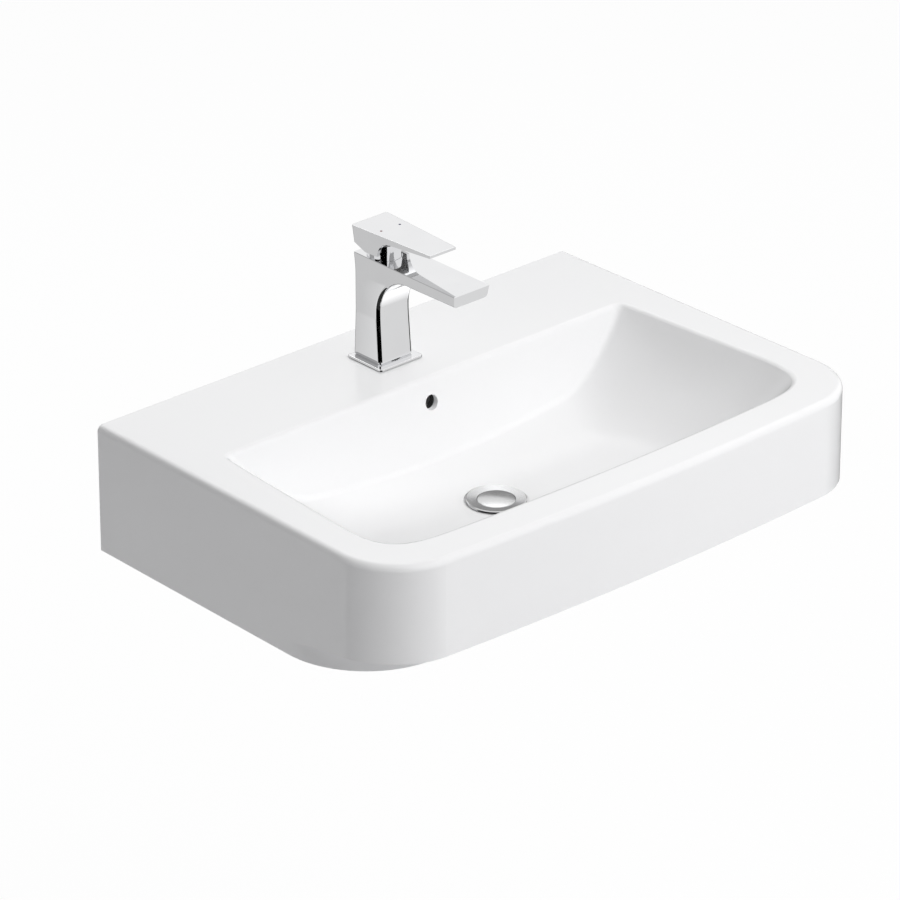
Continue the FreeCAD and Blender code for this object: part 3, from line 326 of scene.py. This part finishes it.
def world():
    """A world that fills the shade softly and is white where it is seen."""
    scene.world = bpy.data.worlds.new("studio")
    scene.world.use_nodes = True
    tree = scene.world.node_tree
    background = tree.nodes["Background"]
    span = tree.nodes.new("ShaderNodeMapRange")
    span.inputs["To Min"].default_value = WORLD_FILL
    span.inputs["To Max"].default_value = WORLD_SEEN
    tree.links.new(seen_rays(tree), span.inputs["Value"])
    background.inputs["Color"].default_value = (1, 1, 1, 1)
    tree.links.new(span.outputs["Result"], background.inputs["Strength"])


def softbox(name, place, size, watts):
    """An area lamp aimed at the basin that isn't mirrored in anything."""
    data = bpy.data.lights.new(name, "AREA")
    data.shape = "RECTANGLE"
    data.size, data.size_y = size
    data.energy = watts
    lamp = bpy.data.objects.new(name, data)
    scene.collection.objects.link(lamp)
    lamp.location = place
    aim = Vector(LAMP_TARGET) - Vector(place)
    lamp.rotation_euler = aim.to_track_quat("-Z", "Y").to_euler()
    lamp.visible_glossy = False


def backdrop(name, corners, low, high=None, along=(0, 1, 0), span=(0, 1)):
    """A card outside the picture that only metal and glaze mirror. Its glow is low all over, or goes
    from low to high over a span measured along a direction."""
    mesh = bpy.data.meshes.new(name)
    mesh.from_pydata(corners, [], [tuple(range(len(corners)))])
    material = bpy.data.materials.new(name)
    material.use_nodes = True
    tree = material.node_tree
    glow = tree.nodes.new("ShaderNodeEmission")
    coords = tree.nodes.new("ShaderNodeTexCoord")
    reach = tree.nodes.new("ShaderNodeVectorMath")
    reach.operation = "DOT_PRODUCT"
    reach.inputs[1].default_value = along
    ramp = tree.nodes.new("ShaderNodeMapRange")
    ramp.inputs["From Min"].default_value, ramp.inputs["From Max"].default_value = span
    ramp.inputs["To Min"].default_value = low
    ramp.inputs["To Max"].default_value = low if high is None else high
    tree.links.new(coords.outputs["Object"], reach.inputs[0])
    tree.links.new(reach.outputs["Value"], ramp.inputs["Value"])
    tree.links.new(ramp.outputs["Result"], glow.inputs["Strength"])
    tree.links.new(glow.outputs[0], tree.nodes["Material Output"].inputs["Surface"])
    mesh.materials.append(material)
    card = bpy.data.objects.new(name, mesh)
    scene.collection.objects.link(card)
    card.visible_camera = False
    card.visible_diffuse = False
    card.visible_shadow = False


def sector(inner, outer, first, last, height):
    """The corners of a level piece of a ring round the basin, between two azimuths in degrees."""
    turns = [math.radians(first + (last - first) * step / RING_STEPS)
             for step in range(RING_STEPS + 1)]
    rim = [(outer * math.cos(turn), outer * math.sin(turn), height) for turn in turns]
    hub = [(inner * math.cos(turn), inner * math.sin(turn), height) for turn in reversed(turns)]
    return rim + hub


def level(*corners):
    """The corners of a card that lies on the rings."""
    return [(x, y, UPPER_CARD_Z) for x, y in corners]


def upright(first, last, foot, first_top, last_top):
    """The corners of an upright card between two points, each with its own top."""
    return [(*first, foot), (*last, foot), (*last, last_top), (*first, first_top)]


def camera():
    """The photograph's viewpoint."""
    data = bpy.data.cameras.new("camera")
    data.sensor_width = SENSOR
    data.lens = LENS
    view = bpy.data.objects.new("camera", data)
    scene.collection.objects.link(view)
    flat = math.cos(ELEVATION)
    back = Vector((math.sin(AZIMUTH) * flat, -math.cos(AZIMUTH) * flat, math.sin(ELEVATION)))
    view.location = Vector(AIM) + back * DISTANCE
    view.rotation_euler = (math.pi / 2 - ELEVATION, 0, AZIMUTH)
    scene.camera = view


floor()
world()
for lamp in LAMPS:
    softbox(*lamp)
for name, *shape, strength in RINGS:
    backdrop(name, sector(*shape), strength)
backdrop("white_front", level((0.45, 0.1), (0.45, -0.95), (1.3, -0.95), (1.3, 0.1)),
         0.8, 1.6, (0, 1, 0), (-0.95, 0.1))
backdrop("white_left", level((-1.09, 1.17), (-1.37, 1.485), (-1.88, 0.68), (-1.5, 0.55)),
         0.84, 0.62, (0.745, 0.667, 0), (-0.075, -0.028))
backdrop("pale_right", level((0.75, 0.85), (1.55, 0.85), (1.55, 1.75), (0.75, 1.75)), 0.75)
backdrop("grey_right", upright((2.9, 0.78), (0.52, 2.95), CARD_Z, 1.9, 0.4), 0.3)
backdrop("grey_back", upright((-2.5, 1.15), (-0.9, 2.6), 0.3, 2.2, 2.2), 0.45)
backdrop("dark_front", upright((-1.65, -3.45), (-3.7, -1.35), 0.7, 3.2, 3.2), 0.0)

# Neither the metal nor the glaze mirrors the basin, and the tap above its plate throws no shadow
basin.visible_glossy = False
for node in nodes.values():
    corners = [node.matrix_world @ Vector(corner) for corner in node.bound_box]
    middle = sum(corners, Vector()) / len(corners)
    if middle.z > TAP_FOOT:
        node.visible_shadow = False
camera()
